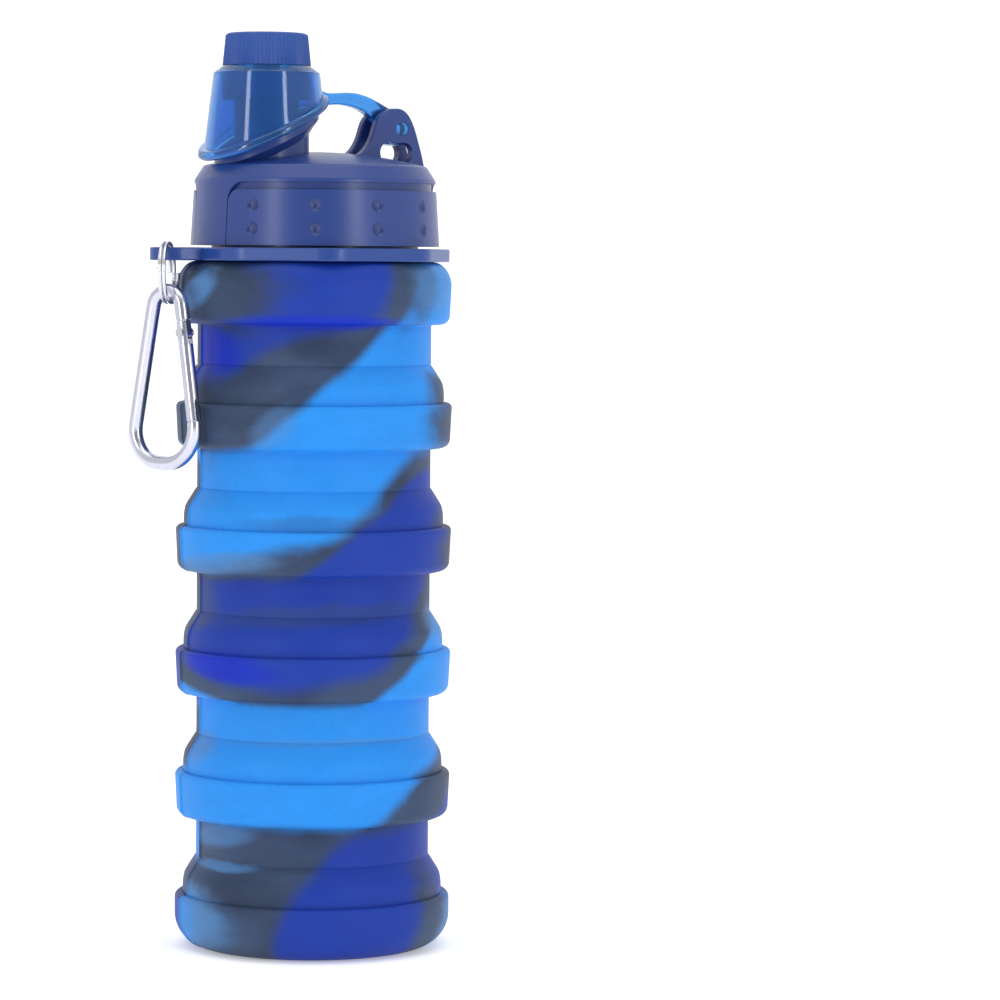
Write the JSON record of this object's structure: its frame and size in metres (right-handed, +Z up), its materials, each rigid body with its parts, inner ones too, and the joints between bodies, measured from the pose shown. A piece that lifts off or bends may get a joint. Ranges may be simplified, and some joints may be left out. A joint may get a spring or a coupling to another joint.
{
  "type": "folding water bottle",
  "caption": "Collapsible silicone water bottle with wide rings on fold walls, screw lid, flip spout cap with twist knob, and a carabiner on a split ring.",
  "frame": {"origin": "centre of the base's flat underside, on the bottle's axis", "axes": "+Z up along the bottle, -X towards the carry tab and carabiner (which sit a little to -Y), and the flip cap's hinge towards +X, turned 30 degrees towards +Y"},
  "size_m": [0.0816, 0.07, 0.2312],
  "materials": {
    "silicone_marbled": "satin soft-touch silicone, marbled light blue, royal blue and slate grey",
    "collar_plastic": "semi-gloss",
    "lid_plastic": "semi-gloss",
    "knob_plastic": "satin",
    "clear_blue_plastic": "translucent gloss",
    "seal_silicone": "matte",
    "ring_steel": "bright nickel plate",
    "carabiner_alloy": "satin, lightly brushed"
  },
  "bodies": {
    "base": {"body_base": "silicone_marbled", "fold_wall_5": "silicone_marbled"},
    "ring_5": {"body_ring_5": "silicone_marbled", "fold_wall_4": "silicone_marbled"},
    "ring_4": {"body_ring_4": "silicone_marbled", "fold_wall_3": "silicone_marbled"},
    "ring_3": {"body_ring_3": "silicone_marbled", "fold_wall_2": "silicone_marbled"},
    "ring_2": {"body_ring_2": "silicone_marbled", "fold_wall_1": "silicone_marbled"},
    "mouth": {"body_ring_1": "silicone_marbled", "neck_collar": "collar_plastic"},
    "gasket": {"lid_gasket": "seal_silicone"},
    "lid": {"lid_shell": "lid_plastic", "grip_panel_front": "lid_plastic", "grip_panel_back": "lid_plastic"},
    "cap": {"cap_hood": "clear_blue_plastic"},
    "stopper": {"cap_knob": "knob_plastic", "cap_stopper": "knob_plastic", "cap_seal": "seal_silicone"},
    "split_ring": {"split_ring": "ring_steel"},
    "carabiner": {"carabiner_body": "carabiner_alloy", "gate_rivet": "ring_steel"},
    "gate": {"carabiner_gate": "carabiner_alloy", "gate_latch_pin": "ring_steel"}
  },
  "joints": [
    {"name": "fold_5", "type": "slide", "parent": "base", "child": "ring_5", "axis": [0, 0, -1], "range_m": [0, 0.018], "deforming": ["fold_wall_5"]},
    {"name": "fold_4", "type": "slide", "parent": "ring_5", "child": "ring_4", "axis": [0, 0, -1], "range_m": [0, 0.018], "deforming": ["fold_wall_4"]},
    {"name": "fold_3", "type": "slide", "parent": "ring_4", "child": "ring_3", "axis": [0, 0, -1], "range_m": [0, 0.018], "deforming": ["fold_wall_3"]},
    {"name": "fold_2", "type": "slide", "parent": "ring_3", "child": "ring_2", "axis": [0, 0, -1], "range_m": [0, 0.018], "deforming": ["fold_wall_2"]},
    {"name": "fold_1", "type": "slide", "parent": "ring_2", "child": "mouth", "axis": [0, 0, -1], "range_m": [0, 0.018], "deforming": ["fold_wall_1"]},
    {"name": "lid_lift", "type": "slide", "parent": "mouth", "child": "gasket", "axis": [0, 0, 1], "range_m": [0, 0.0118]},
    {"name": "lid_turn", "type": "hinge", "parent": "gasket", "child": "lid", "pos_m": [0, 0, 0.178], "axis": [0, 0, 1], "range_deg": [0, 756]},
    {"name": "cap_flip", "type": "hinge", "parent": "lid", "child": "cap", "pos_m": [0.01983, 0.01145, 0.208], "axis": [-0.5, 0.866, 0], "range_deg": [0, 160]},
    {"name": "knob_turn", "type": "hinge", "parent": "cap", "child": "stopper", "pos_m": [-0.0123, -0.0071, 0.2232], "axis": [0, 0, -1], "range_deg": [0, 75]},
    {"name": "ring_turn", "type": "hinge", "parent": "mouth", "child": "split_ring", "pos_m": [-0.0366, -0.0172, 0.171], "axis": [-0.9848, 0.1736, 0], "range_deg": [0, 60]},
    {"name": "carabiner_swing", "type": "hinge", "parent": "split_ring", "child": "carabiner", "pos_m": [-0.0366, -0.0172, 0.16175], "axis": [0.6428, 0.766, 0], "range_deg": [0, 40]},
    {"name": "gate_open", "type": "hinge", "parent": "carabiner", "child": "gate", "pos_m": [-0.03225, -0.02085, 0.1562], "axis": [0.6428, 0.766, 0], "range_deg": [0, 22], "stiffness_Nm_per_rad": 0.01, "springref_deg": -17.19}
  ],
  "couplings": [
    {"joint": "lid_lift", "follows": "lid_turn", "m_per_rad": 0.00087535}
  ]
}
